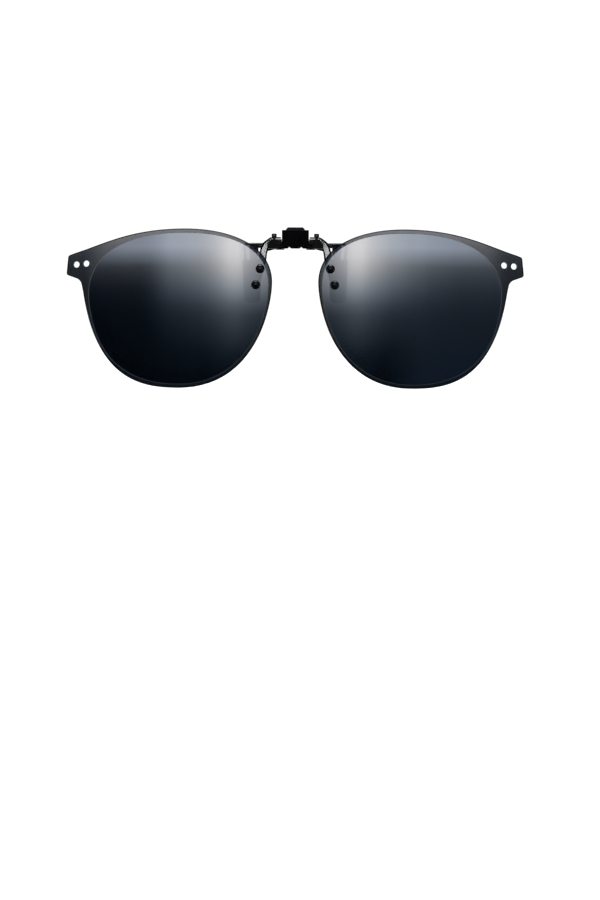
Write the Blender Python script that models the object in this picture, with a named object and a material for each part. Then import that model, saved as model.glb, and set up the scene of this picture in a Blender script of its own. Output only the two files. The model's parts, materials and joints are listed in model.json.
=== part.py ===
"""Clip-on flip lenses: two dark lens plates on riveted arms, hinged in front of a
sprung two-jaw clip that grips a pair of spectacles at the nose.

World frame: +X to the right seen from the front, -Y the front, +Z up.  The origin
is the middle of the grip: the symmetry plane, the face that the jaws close on,
and half way down the pads.  Every shape below is written in millimetres from the
flip axis, and is then hung on the empty of the body that it belongs to.
"""

import math

import bmesh
import bpy
from mathutils import Matrix, Vector

MM = 0.001
GAP = 0.2  # left between pieces that touch

# ---- where the axes lie, in mm from the flip axis -----------------------------
GRIP_Y, GRIP_Z = 5.45, -11.5  # closing face of the jaws, middle of the pads
CLAMP_Y, CLAMP_Z = 6.7, 0.1  # clamp axle

# ---- lens plate -----------------------------------------------------------------
LENS_THICK = 1.1
LENS_RADIUS = 250.0  # spherical curve of the front surface
LENS_WRAP = math.radians(3.0)  # each lens turns back towards the temple
LENS_MID_X, LENS_MID_Z = 38.0, -20.0
LENS_MID_Y = -1.2
TOP = (34.1, 4.67)
NOSE = (7.18, -12.1)
BOTTOM = (36.4, -45.1)
TEMPLE = (66.35, -15.1)
TAB_CORNERS = ((67.12, -11.5, 2.6), (71.65, -9.95, 0.9), (71.1, -3.95, 0.9))
TAB_TOP = (69.2, -3.2)
TAB_HOLES = ((68.5, -6.7), (65.4, -6.4))
TAB_HOLE_R = 0.97

# ---- rivets and arms --------------------------------------------------------------
RIVETS = ((10.94, -7.85), (12.29, -12.83))
RIVET_HEAD_R, RIVET_HEAD_H = 1.35, 0.85
RIVET_SHANK_R, RIVET_HOLE_R = 0.6, 0.75
RIVET_TAIL_R, RIVET_TAIL_H = 0.95, 0.35
ARM_WIDTH, ARM_THICK = 2.4, 0.5
ARM_TOP_Z = 1.85  # middle of the strip where it lies on the wing block

# ---- flip hinge ---------------------------------------------------------------------
COVER_X, COVER_LOW, COVER_HIGH = 4.1, -1.54, 4.24
COVER_FRONT, COVER_BACK, COVER_WALL = -2.2, 2.6, 0.5
CAM_ACROSS = 1.8  # square middle of the flip axle
JOURNAL_R = 0.9
KNUCKLE_R, KNUCKLE_IN, KNUCKLE_OUT = 1.9, 4.3, 5.3
WING_OUT, WING_TOP, WING_LOW, WING_DEPTH = 8.6, 1.42, -1.54, 3.0
SCREW_X, SCREW_HEAD_R, SCREW_R = 6.62, 0.75, 0.45

# ---- front jaw ------------------------------------------------------------------------
WIRE_R = 0.4
WIRE_Y = 4.2
LOOP_OUT, LOOP_IN, LOOP_LOW = 16.0, 11.4, -15.6
FRONT_PAD_X, FRONT_PAD_Z = (10.5, 16.5), (-18.4, -4.9)
FRONT_PAD_Y = (3.15, 5.25)
BAR_X, BAR_Y, BAR_Z = 7.4, (3.6, 5.0), (-1.75, 0.8)
EAR_X = (2.7, 4.1)

# ---- rear jaw -------------------------------------------------------------------------
AXLE_R = 0.5
BARREL_R, BARREL_X = 1.05, 1.45
WALL_Y = (7.9, 8.6)
BLADE_X, BLADE_WIDTH, BLADE_Y = 13.05, 2.6, (6.55, 7.05)
REAR_PAD_Y = (5.65, 7.75)
REAR_PAD_Z = (-17.2, -5.3)
TAB_Z = (1.9, 5.35)
TAB_Y = (6.1, 6.9)


# ---- shape helpers ------------------------------------------------------------------------
def arc(centre, radius, start, end, steps):
    """Points of a circular arc, angles in degrees."""
    return [
        (
            centre[0] + radius * math.cos(math.radians(start + (end - start) * i / steps)),
            centre[1] + radius * math.sin(math.radians(start + (end - start) * i / steps)),
        )
        for i in range(steps + 1)
    ]


def bezier(p0, p1, p2, p3, steps):
    """Points of a cubic curve, without the last one."""
    pts = []
    for i in range(steps):
        t = i / steps
        a, b, c, d = (1 - t) ** 3, 3 * (1 - t) ** 2 * t, 3 * (1 - t) * t * t, t**3
        pts.append(tuple(a * w + b * x + c * y + d * z for w, x, y, z in zip(p0, p1, p2, p3)))
    return pts


def rounded(corners, steps=4):
    """A closed outline from (x, y, radius) corners."""
    pts = []
    for i, (x, y, r) in enumerate(corners):
        here = Vector((x, y))
        if r <= 0:
            pts.append((x, y))
            continue
        before = (Vector(corners[i - 1][:2]) - here).normalized()
        after = (Vector(corners[(i + 1) % len(corners)][:2]) - here).normalized()
        half = before.angle(after) / 2
        middle = here + (before + after).normalized() * r / math.sin(half)
        a = here + before * r / math.tan(half) - middle
        b = here + after * r / math.tan(half) - middle
        turn = a.angle_signed(b)
        for k in range(steps + 1):
            p = middle + Matrix.Rotation(-turn * k / steps, 2) @ a
            pts.append((p.x, p.y))
    return pts


def box_outline(low, high, radius=0.0, steps=3):
    (x0, y0), (x1, y1) = low, high
    return rounded([(x0, y0, radius), (x1, y0, radius), (x1, y1, radius), (x0, y1, radius)], steps)


def mesh_from(bm):
    bmesh.ops.recalc_face_normals(bm, faces=bm.faces)
    mesh = bpy.data.meshes.new("shape")
    bm.to_mesh(mesh)
    bm.free()
    return mesh


def prism(outline, low, high, along):
    """An outline extruded along X, Y or Z.  It is (y, z), (x, z) or (x, y)."""
    place = {
        "X": lambda a, b, h: (h, a, b),
        "Y": lambda a, b, h: (a, h, b),
        "Z": lambda a, b, h: (a, b, h),
    }[along]
    bm = bmesh.new()
    face = bm.faces.new([bm.verts.new(Vector(place(a, b, low))) for a, b in outline])
    grown = bmesh.ops.extrude_face_region(bm, geom=[face])
    move = Vector(place(0, 0, high - low))
    bmesh.ops.translate(bm, vec=move, verts=[v for v in grown["geom"] if isinstance(v, bmesh.types.BMVert)])
    return mesh_from(bm)


def block(x, y, z, bevel=0.0):
    """A box from three (low, high) pairs, with its edges broken."""
    bm = bmesh.new()
    bmesh.ops.create_cube(bm, size=1.0)
    for v in bm.verts:
        v.co = Vector([(lo + hi) / 2 + c * (hi - lo) for c, (lo, hi) in zip(v.co, (x, y, z))])
    if bevel:
        bmesh.ops.bevel(bm, geom=bm.edges[:], offset=bevel, segments=2, affect="EDGES", profile=0.5)
    return mesh_from(bm)


def turned(profile, base, axis, sides=20):
    """A solid of revolution from (radius, distance along the axis) points."""
    axis = Vector(axis).normalized()
    u = axis.orthogonal().normalized()
    v = axis.cross(u)
    base = Vector(base)
    bm = bmesh.new()
    rings = []
    for r, t in profile:
        middle = base + axis * t
        if r == 0:
            rings.append([bm.verts.new(middle)])
        else:
            rings.append(
                [
                    bm.verts.new(middle + (u * math.cos(a) + v * math.sin(a)) * r)
                    for a in (2 * math.pi * k / sides for k in range(sides))
                ]
            )
    for one, two in zip(rings, rings[1:]):
        for k in range(sides):
            a, b = one[k % len(one)], one[(k + 1) % len(one)]
            c, d = two[(k + 1) % len(two)], two[k % len(two)]
            bm.faces.new(list(dict.fromkeys((a, b, c, d))))
    return mesh_from(bm)


def rod(radius, low, high, y, z, sides=20):
    """A round bar along X with broken ends."""
    e = radius * 0.15
    return turned([(0, low), (radius - e, low), (radius, low + e), (radius, high - e), (radius - e, high), (0, high)],
                  (0, y, z), (1, 0, 0), sides)


def loft(sections):
    """A closed skin over rings of equal length, capped at both ends."""
    bm = bmesh.new()
    rings = [[bm.verts.new(Vector(p)) for p in ring] for ring in sections]
    n = len(rings[0])
    for one, two in zip(rings, rings[1:]):
        for k in range(n):
            bm.faces.new((one[k], one[(k + 1) % n], two[(k + 1) % n], two[k]))
    bm.faces.new(rings[0])
    bm.faces.new(rings[-1])
    return mesh_from(bm)


def tube(path, radius, sides=8):
    """A round wire along a path."""
    path = [Vector(p) for p in path]
    tangents = [(path[min(i + 1, len(path) - 1)] - path[max(i - 1, 0)]).normalized() for i in range(len(path))]
    u = tangents[0].orthogonal().normalized()
    rings = []
    for p, t in zip(path, tangents):
        u = (u - t * u.dot(t)).normalized()
        v = t.cross(u)
        rings.append([p + (u * math.cos(a) + v * math.sin(a)) * radius
                      for a in (2 * math.pi * k / sides for k in range(sides))])
    return loft(rings)


def strip(stations):
    """A flat bar through (middle, half width vector, half thickness vector) stations."""
    rings = []
    for middle, w, t in stations:
        middle, w, t = Vector(middle), Vector(w), Vector(t)
        rings.append([middle - w - t, middle + w - t, middle + w + t, middle - w + t])
    return loft(rings)


def corner_path(corners, steps=6):
    """A path through (x, y, z, bend radius) corners, each bend a true arc."""
    pts = []
    for i, (x, y, z, r) in enumerate(corners):
        here = Vector((x, y, z))
        if r == 0:
            pts.append(here)
            continue
        before = (Vector(corners[i - 1][:3]) - here).normalized()
        after = (Vector(corners[i + 1][:3]) - here).normalized()
        half = before.angle(after) / 2
        middle = here + (before + after).normalized() * r / math.sin(half)
        a = here + before * r / math.tan(half) - middle
        b = here + after * r / math.tan(half) - middle
        pts += [middle + a.slerp(b, k / steps) for k in range(steps + 1)]
    return pts


def mirrored(mesh):
    """The same piece on the other side of the symmetry plane."""
    copy = mesh.copy()
    copy.transform(Matrix.Scale(-1, 4, (1, 0, 0)))
    copy.flip_normals()
    return copy


def boolean(mesh, others, operation):
    """Join or cut a shape with others by Blender's exact solver."""
    for other in others:
        a, b = bpy.data.objects.new("a", mesh), bpy.data.objects.new("b", other)
        for o in (a, b):
            bpy.context.scene.collection.objects.link(o)
        mod = a.modifiers.new("cut", "BOOLEAN")
        mod.operation, mod.solver, mod.object = operation, "EXACT", b
        bpy.context.view_layer.update()
        mesh = bpy.data.meshes.new_from_object(a.evaluated_get(bpy.context.evaluated_depsgraph_get()))
        for o in (a, b):
            bpy.data.objects.remove(o)
    return mesh


def join(mesh, *others):
    return boolean(mesh, others, "UNION")


def cut(mesh, *others):
    return boolean(mesh, others, "DIFFERENCE")


# ---- scene, empties and materials -------------------------------------------------------
for old in list(bpy.data.objects):
    bpy.data.objects.remove(old)

bodies = {}
for body, (y, z) in {
    "clip_base": (0.0, 0.0),
    "flip_frame": (0.0, 0.0),
    "rear_jaw": (CLAMP_Y, CLAMP_Z),
}.items():
    empty = bpy.data.objects.new(body + "_axis", None)
    empty.empty_display_size = 5 * MM
    empty.location = (0, (y - GRIP_Y) * MM, (z - GRIP_Z) * MM)
    bpy.context.scene.collection.objects.link(empty)
    bodies[body] = (empty, Vector((0, y, z)))


def piece(name, body, mesh, colour, roughness, metallic=0.0, alpha=1.0):
    """Hang a shape, written in mm from the flip axis, on its body's empty."""
    empty, origin = bodies[body]
    mesh.transform(Matrix.Scale(MM, 4) @ Matrix.Translation(-origin))
    mesh.name = name
    mesh.materials.clear()
    material = bpy.data.materials.new(name)
    material.use_nodes = True
    shader = material.node_tree.nodes["Principled BSDF"]
    shader.inputs["Base Color"].default_value = (*colour, 1)
    shader.inputs["Roughness"].default_value = roughness
    shader.inputs["Metallic"].default_value = metallic
    shader.inputs["Alpha"].default_value = alpha
    mesh.materials.append(material)
    mesh.shade_smooth()
    mesh.set_sharp_from_angle(angle=math.radians(32))
    obj = bpy.data.objects.new(name, mesh)
    obj.parent = empty
    bpy.context.scene.collection.objects.link(obj)
    return obj


def pair(name, body, mesh, *look, **more):
    """A piece on each side: right is +X, left is -X."""
    other = mirrored(mesh)
    piece(name + "_right", body, mesh, *look, **more)
    piece(name + "_left", body, other, *look, **more)


BLACK = (0.012, 0.012, 0.014)
STEEL = (0.42, 0.42, 0.44)


# ---- lens surface and outline -----------------------------------------------------------
def lens_front(x, z):
    """Y of the front surface of the right lens."""
    bow = ((x - LENS_MID_X) ** 2 + (z - LENS_MID_Z) ** 2) / (2 * LENS_RADIUS)
    return LENS_MID_Y + bow + (x - LENS_MID_X) * math.tan(LENS_WRAP)


def lens_normal(x, z):
    """Unit normal of the front surface, pointing back towards the wearer."""
    slope_x = (x - LENS_MID_X) / LENS_RADIUS + math.tan(LENS_WRAP)
    slope_z = (z - LENS_MID_Z) / LENS_RADIUS
    return Vector((-slope_x, 1, -slope_z)).normalized()


def lens_outline(steps=22):
    """Right lens, from the top of the tab over the brow, down the nose side and round."""
    tab = rounded([(*TEMPLE, 0), *TAB_CORNERS, (*TAB_TOP, 0)])
    return (
        bezier(TAB_TOP, (60.0, -0.35), (TOP[0] + 17.3, TOP[1]), TOP, steps)
        + bezier(TOP, (TOP[0] - 14.1, TOP[1]), (NOSE[0], NOSE[1] + 11.6), NOSE, steps)
        + bezier(NOSE, (NOSE[0], NOSE[1] - 6.5), (BOTTOM[0] - 25.0, BOTTOM[1]), BOTTOM, steps)
        + bezier(BOTTOM, (BOTTOM[0] + 10.5, BOTTOM[1]), (61.9, -43.9), TEMPLE, steps)
        + tab[:-1]
    )


def through(x, z, radius, sides=16):
    """A cutter along the lens normal."""
    return turned([(0, -4), (radius, -4), (radius, 6), (0, 6)], (x, lens_front(x, z), z), lens_normal(x, z), sides)


def lens_plate():
    outline = lens_outline()
    bm = bmesh.new()
    skins = []
    for depth in (0.0, LENS_THICK):
        rings = []
        for t in (0.3, 0.6, 0.85, 1.0):
            ring = []
            for x, z in outline:
                px, pz = LENS_MID_X + t * (x - LENS_MID_X), LENS_MID_Z + t * (z - LENS_MID_Z)
                ring.append(bm.verts.new((px, lens_front(px, pz) + depth, pz)))
            rings.append(ring)
        middle = bm.verts.new((LENS_MID_X, LENS_MID_Y + depth, LENS_MID_Z))
        n = len(outline)
        for k in range(n):
            bm.faces.new((middle, rings[0][k], rings[0][(k + 1) % n]))
            for one, two in zip(rings, rings[1:]):
                bm.faces.new((one[k], two[k], two[(k + 1) % n], one[(k + 1) % n]))
        skins.append(rings[-1])
    front, back = skins
    for k in range(n):
        bm.faces.new((front[k], front[(k + 1) % n], back[(k + 1) % n], back[k]))
    holes = [through(x, z, TAB_HOLE_R) for x, z in TAB_HOLES]
    holes += [through(x, z, RIVET_HOLE_R, 12) for x, z in RIVETS]
    return cut(mesh_from(bm), *holes)


pair("lens", "flip_frame", lens_plate(), (0.02, 0.022, 0.03), 0.08, alpha=0.94)

# ---- rivets: dome on the lens, shank through lens and arm, peened tail -------------------
for number, (x, z) in enumerate(RIVETS, 1):
    tail = LENS_THICK + GAP + ARM_THICK + GAP
    dome = [
        (RIVET_HEAD_R * math.cos(math.radians(a)), -GAP - RIVET_HEAD_H * math.sin(math.radians(a)))
        for a in (0, 22, 44, 66)
    ]
    rivet = turned(
        [(0, -GAP - RIVET_HEAD_H), *reversed(dome), (RIVET_SHANK_R, -GAP), (RIVET_SHANK_R, tail),
         (RIVET_TAIL_R, tail), (RIVET_TAIL_R * 0.7, tail + RIVET_TAIL_H), (0, tail + RIVET_TAIL_H)],
        (x, lens_front(x, z), z), lens_normal(x, z), 16,
    )
    pair(f"rivet_{'upper' if number == 1 else 'lower'}", "flip_frame", rivet, BLACK, 0.2, 1.0)


# ---- lens arm: flat on the wing block, turned over the end, then down behind the lens ------
def lens_arm():
    flat = Vector((0, -ARM_WIDTH / 2, 0))
    up = Vector((0, 0, ARM_THICK / 2))
    # the line through both rivets
    (x1, z1), (x2, z2) = RIVETS
    run = Vector((x2 - x1, z2 - z1)).normalized()

    def behind(t):
        """A point t mm along the rivet line from the upper rivet, behind the lens."""
        x, z = x1 + run.x * t, z1 + run.y * t
        n = lens_normal(x, z)
        middle = Vector((x, lens_front(x, z), z)) + n * (LENS_THICK + GAP + ARM_THICK / 2)
        along = Vector((run.x, 0, run.y))
        side = along.cross(n).normalized()
        side = side if side.x > 0 else -side
        return middle, side, n

    stations = [((x, 0, ARM_TOP_Z), flat, up) for x in (4.5, 6.0, 7.2)]
    start = Vector((7.2, 0, ARM_TOP_Z))
    end, end_side, end_normal = behind(-3.2)
    # the twist: the front edge swings out and the upper face turns to the back
    a1, a2 = start + Vector((1.7, 0, 0)), end + Vector((-0.1, 0.25, 2.9))
    twist_steps = 8
    for i in range(1, twist_steps):
        t = i / twist_steps
        middle = (start * (1 - t) ** 3 + a1 * 3 * (1 - t) ** 2 * t + a2 * 3 * (1 - t) * t * t + end * t**3)
        slope = ((a1 - start) * 3 * (1 - t) ** 2 + (a2 - a1) * 6 * (1 - t) * t + (end - a2) * 3 * t * t).normalized()
        turn = min(t / 0.85, 1)
        side = flat.normalized().lerp(end_side, turn * turn * (3 - 2 * turn))
        side = (side - slope * side.dot(slope)).normalized()
        normal = slope.cross(side).normalized()
        if normal.dot(up.lerp(end_normal, t)) < 0:
            normal = -normal
        stations.append((middle, side * ARM_WIDTH / 2, normal * ARM_THICK / 2))
    for t in (-3.2, -1.8, 1.5, 4.5, 7.0):
        middle, side, n = behind(t)
        stations.append((middle, side * ARM_WIDTH / 2, n * ARM_THICK / 2))
    for a in (25, 50, 72):
        middle, side, n = behind(7.0 + math.sin(math.radians(a)) * ARM_WIDTH / 2)
        stations.append((middle, side * ARM_WIDTH / 2 * math.cos(math.radians(a)), n * ARM_THICK / 2))
    arm = strip(stations)
    screw_hole = turned([(0, 0), (SCREW_R + 0.15, 0), (SCREW_R + 0.15, 4), (0, 4)], (SCREW_X, 0, 0), (0, 0, 1), 16)
    return cut(arm, screw_hole, *[through(x, z, RIVET_HOLE_R, 12) for x, z in RIVETS])


pair("lens_arm", "flip_frame", lens_arm(), (0.06, 0.06, 0.065), 0.3, 1.0)

# ---- arm screws -----------------------------------------------------------------------------
screw = turned(
    [(0, -0.9), (SCREW_R, -0.9), (SCREW_R, 2.2), (SCREW_HEAD_R, 2.2), (SCREW_HEAD_R, 2.95),
     (SCREW_HEAD_R - 0.12, 3.1), (0, 3.1)],
    (SCREW_X, 0, 0), (0, 0, 1), 18,
)
slot = block((SCREW_X - 1, SCREW_X + 1), (-0.12, 0.12), (2.8, 3.4))
pair("arm_screw", "flip_frame", cut(screw, slot), (0.05, 0.05, 0.055), 0.3, 1.0)

# ---- flip hinge: knuckles with their wing blocks, square-bodied axle -----------------------
knuckle = rod(KNUCKLE_R, KNUCKLE_IN, KNUCKLE_OUT + 0.3, 0, 0, 24)
wing = prism(
    [(KNUCKLE_OUT, WING_LOW + 0.2), (KNUCKLE_OUT + 0.2, WING_LOW), (WING_OUT - 0.3, WING_LOW),
     (WING_OUT, WING_LOW + 0.3), (WING_OUT, -0.3), (WING_OUT - 1.0, WING_TOP), (KNUCKLE_OUT, WING_TOP)],
    -WING_DEPTH / 2, WING_DEPTH / 2, "Y",
)
knuckle = cut(
    join(wing, knuckle),
    block((3, 9), (-3, 3), (WING_TOP, 4)),
    prism([(6.8, 1.7), (9.2, 1.7), (9.2, -0.7)], -3, 3, "Z"),  # room for the twist of the arm
    rod(JOURNAL_R + 0.2, 3.0, 5.75, 0, 0, 16),
    turned([(0, -1.2), (SCREW_R + 0.15, -1.2), (SCREW_R + 0.15, 3), (0, 3)], (SCREW_X, 0, 0), (0, 0, 1), 16),
)
pair("flip_knuckle", "flip_frame", knuckle, BLACK, 0.3, 0.9)

cam = block((-3.1, 3.1), (-CAM_ACROSS / 2, CAM_ACROSS / 2), (-CAM_ACROSS / 2, CAM_ACROSS / 2), 0.15)
piece("flip_axle", "flip_frame", join(cam, rod(JOURNAL_R - 0.05, -5.5, 5.5, 0, 0, 16)), STEEL, 0.3, 1.0)

# ---- hinge cover: folded box, open below and behind, two notches in its lower edge ----------
cover = block((-COVER_X, COVER_X), (COVER_FRONT, COVER_BACK), (COVER_LOW, COVER_HIGH), 0.3)
hollow = block(
    (-COVER_X + COVER_WALL, COVER_X - COVER_WALL),
    (COVER_FRONT + COVER_WALL, COVER_BACK + 1),
    (COVER_LOW - 1, COVER_HIGH - COVER_WALL),
)
notches = [
    prism([(s * 1.85 - 0.6, COVER_LOW - 0.3), (s * 1.85 + 0.6, COVER_LOW - 0.3), (s * 1.85, COVER_LOW + 0.55)],
          -3, 0.5, "Y")
    for s in (-1, 1)
]
journal_way = rod(JOURNAL_R + 0.2, -5, 5, 0, 0, 16)
piece("hinge_cover", "clip_base", cut(cover, hollow, journal_way, *notches), BLACK, 0.35, 0.8)

# ---- detent spring: a bent leaf that the square axle clicks against ---------------------------
leaf = prism([(1.45, -0.85), (1.7, -0.85), (1.7, 2.65), (-1.2, 2.65), (-1.2, 2.4), (1.45, 2.4)], -2.6, 2.6, "X")
piece("detent_spring", "clip_base", leaf, STEEL, 0.35, 1.0)

# ---- bridge body: plug inside the cover, cross bar, and two ears for the clamp axle -----------
plug = prism([(-1.4, 2.85), (1.9, 2.85), (1.9, -0.9), (4.2, -0.9), (4.2, 3.5), (-1.4, 3.5)], -3.35, 3.35, "X")
bar = prism(
    [(-BAR_X, -0.9), (-BAR_X + 1.6, BAR_Z[0]), (-3.7, BAR_Z[0]), (-3.1, -0.95), (3.1, -0.95), (3.7, BAR_Z[0]),
     (BAR_X - 1.6, BAR_Z[0]), (BAR_X, -0.9), (BAR_X, BAR_Z[1]), (-BAR_X, BAR_Z[1])],
    BAR_Y[0], BAR_Y[1], "Y",
)
ears = [
    prism(
        [(BAR_Y[1] - 0.4, CLAMP_Z - 0.9), *arc((CLAMP_Y, CLAMP_Z), 0.95, -90, 90, 8), (BAR_Y[1] - 0.4, CLAMP_Z + 0.9)],
        *sorted((s * EAR_X[0], s * EAR_X[1])), "X",
    )
    for s in (-1, 1)
]


def front_wire_path(side):
    """The hairpin: out along the top, round inside the pad, and back to the bar."""
    corners = [
        (BAR_X - 1.4, 0.0, 0), (LOOP_OUT, 0.0, 1.0), (LOOP_OUT - 0.3, LOOP_LOW, 1.9),
        (LOOP_IN + 0.3, LOOP_LOW, 1.9), (LOOP_IN, -3.4, 1.4), (9.0, -1.15, 1.6), (BAR_X - 1.4, -1.15, 0),
    ]
    return corner_path([(side * x, WIRE_Y, z, r) for x, z, r in corners])


sockets = [tube([(s * (BAR_X - 1.6), WIRE_Y, z), (s * (BAR_X + 1), WIRE_Y, z)], WIRE_R + 0.15, 10)
           for s in (-1, 1) for z in (0.0, -1.15)]
bridge = cut(join(plug, bar, *ears), rod(AXLE_R + 0.15, -6, 6, CLAMP_Y, CLAMP_Z, 16), *sockets)
piece("bridge_body", "clip_base", bridge, BLACK, 0.35, 0.8)
pair("front_wire", "clip_base", tube(front_wire_path(1), WIRE_R), (0.03, 0.03, 0.034), 0.25, 1.0)

# ---- front pads: rubber blocks moulded over the hairpins ------------------------------------
pad = prism(
    rounded([(FRONT_PAD_X[0] + 0.5, FRONT_PAD_Z[0], 1.6), (FRONT_PAD_X[1] - 0.5, FRONT_PAD_Z[0], 1.6),
             (FRONT_PAD_X[1], FRONT_PAD_Z[1], 0.7), (FRONT_PAD_X[0], FRONT_PAD_Z[1], 0.7)]),
    *FRONT_PAD_Y, "Y",
)
channel = tube(front_wire_path(1), WIRE_R + 0.2, 8)
pair("front_pad", "clip_base", cut(pad, channel), (0.02, 0.02, 0.02), 0.7)

# ---- clamp axle and its two torsion springs ----------------------------------------------------
piece("clamp_axle", "clip_base", rod(AXLE_R, -4.6, 4.6, CLAMP_Y, CLAMP_Z, 16), STEEL, 0.3, 1.0)


def spring_path():
    """A leg up beside the neck, three turns, and a leg forward under the bar's level."""
    mean, pitch, x0 = 0.83, 0.34, 1.62
    turns, per_turn = 2.75, 12
    path = [Vector((x0, CLAMP_Y - mean, CLAMP_Z + 1.35))]
    for k in range(int(turns * per_turn) + 1):
        a = math.radians(180 - 360 * k / per_turn)
        path.append(Vector((x0 + pitch * k / per_turn, CLAMP_Y + mean * math.cos(a), CLAMP_Z + mean * math.sin(a))))
    path.append(path[-1] + Vector((0, -1.45, 0)))
    return path


pair("clamp_spring", "clip_base", tube(spring_path(), 0.13, 6), STEEL, 0.3, 1.0)

# ---- press lever: tab, neck, barrel, rear wall and the bars out to the blades --------------------
tab = prism(
    rounded([(-3.05, TAB_Z[0], 0.3), (3.05, TAB_Z[0], 0.3), (3.05, TAB_Z[1] - 0.75, 0.3), (2.4, TAB_Z[1], 0.4),
             (-2.4, TAB_Z[1], 0.4), (-3.05, TAB_Z[1] - 0.75, 0.3)], 3),
    *TAB_Y, "Y",
)
neck = block((-1.4, 1.4), (TAB_Y[0] + 0.05, TAB_Y[1] - 0.05), (CLAMP_Z + 0.5, TAB_Z[0] + 0.4))
barrel = rod(BARREL_R, -BARREL_X, BARREL_X, CLAMP_Y, CLAMP_Z, 20)
saddle = block((0.1 - BARREL_X, BARREL_X - 0.1), (CLAMP_Y + 0.3, WALL_Y[1] - 0.2), (CLAMP_Z - 0.75, CLAMP_Z + 0.45))
wall = prism(
    [(-7.6, -0.9), (-6.0, -1.7), (-3.6, -1.7), (-3.0, -0.95), (3.0, -0.95), (3.6, -1.7), (6.0, -1.7), (7.6, -0.9),
     (7.6, 0.15), (-7.6, 0.15)],
    *WALL_Y, "Y",
)
bars = [block(sorted((s * 6.4, s * 12.5)), (WALL_Y[0] - 0.35, WALL_Y[1] - 0.25), (-1.15, -0.15), 0.15) for s in (-1, 1)]
ends = [
    block(sorted((s * 11.6, s * 14.5)), (BLADE_Y[0] - 0.55, WALL_Y[1] - 0.15), (-2.4, 0.1), 0.2) for s in (-1, 1)
]
blade_slots = [
    block(sorted((s * (BLADE_X - 1.45), s * (BLADE_X + 1.45 - 0.05))), (BLADE_Y[0] - 0.15, BLADE_Y[1] + 0.15), (-3, -1.0))
    for s in (-1, 1)
]
lever = join(wall, *bars, tab, neck, barrel, saddle, *ends)
lever = cut(lever, rod(AXLE_R + 0.15, -6, 6, CLAMP_Y, CLAMP_Z, 16), *blade_slots)
piece("press_lever", "rear_jaw", lever, BLACK, 0.3, 0.9)


# ---- rear blades and the sleeves over them ----------------------------------------------------------
def blade(width_top, width_low, y, z_top, z_low, radius):
    return prism(
        rounded([(BLADE_X - width_low / 2, z_low, radius), (BLADE_X + width_low / 2, z_low, radius),
                 (BLADE_X + width_top / 2, z_top, 0.0), (BLADE_X - width_top / 2, z_top, 0.0)]),
        *y, "Y",
    )


pair("rear_blade", "rear_jaw", blade(BLADE_WIDTH - 0.1, 1.7, BLADE_Y, -1.2, REAR_PAD_Z[0] + 1.0, 0.5), STEEL, 0.3, 1.0)
sleeve = blade(3.7, 2.9, REAR_PAD_Y, REAR_PAD_Z[1], REAR_PAD_Z[0], 0.9)
core = blade(BLADE_WIDTH + 0.3, 2.0, (BLADE_Y[0] - GAP, BLADE_Y[1] + GAP), -1.2, REAR_PAD_Z[0] + 0.8, 0.5)
pair("rear_pad", "rear_jaw", cut(sleeve, core), (0.035, 0.035, 0.038), 0.45)
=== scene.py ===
"""Looks of the clip-on flip lenses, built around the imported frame.

Shapes are made in mm from the flip axis, with +X to the right seen from the front, the wearer at +Y
and Z up.  piece() takes each one to its place in the frame, in metres.  The side at +X is modelled,
and pair() mirrors it.
"""

import json
import math

import bmesh
import bpy
import numpy as np
from mathutils import Matrix, Vector


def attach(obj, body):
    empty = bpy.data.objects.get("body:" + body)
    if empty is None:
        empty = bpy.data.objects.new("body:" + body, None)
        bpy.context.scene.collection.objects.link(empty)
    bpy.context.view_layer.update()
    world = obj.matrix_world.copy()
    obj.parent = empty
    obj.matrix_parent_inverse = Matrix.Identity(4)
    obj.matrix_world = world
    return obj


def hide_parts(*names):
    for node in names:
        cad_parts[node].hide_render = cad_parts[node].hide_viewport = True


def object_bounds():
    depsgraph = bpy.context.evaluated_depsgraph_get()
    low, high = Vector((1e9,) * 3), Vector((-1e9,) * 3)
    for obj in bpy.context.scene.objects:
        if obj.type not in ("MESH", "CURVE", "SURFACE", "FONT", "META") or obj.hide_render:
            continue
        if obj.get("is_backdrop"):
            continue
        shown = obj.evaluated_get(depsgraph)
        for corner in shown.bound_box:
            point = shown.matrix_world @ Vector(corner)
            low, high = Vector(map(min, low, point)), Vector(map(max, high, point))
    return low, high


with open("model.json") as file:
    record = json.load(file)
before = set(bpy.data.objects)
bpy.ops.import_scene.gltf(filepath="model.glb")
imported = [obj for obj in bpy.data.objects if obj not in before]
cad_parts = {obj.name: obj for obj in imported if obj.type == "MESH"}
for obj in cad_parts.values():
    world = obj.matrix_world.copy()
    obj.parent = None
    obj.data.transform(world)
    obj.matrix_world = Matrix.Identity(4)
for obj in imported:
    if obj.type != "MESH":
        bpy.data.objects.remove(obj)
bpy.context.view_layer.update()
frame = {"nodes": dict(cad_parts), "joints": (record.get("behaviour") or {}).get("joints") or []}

# ---- where the axes lie -----------------------------------------------------------------------
MM = 0.001
GAP = 0.2  # left between pieces that touch
JOINT_PLACES = {joint["name"]: Vector(joint["pos_m"]) for joint in frame["joints"]}
FLIP = JOINT_PLACES["flip"]
CLAMP_Y, CLAMP_Z = ((JOINT_PLACES["clamp"] - FLIP) / MM).yz

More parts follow.
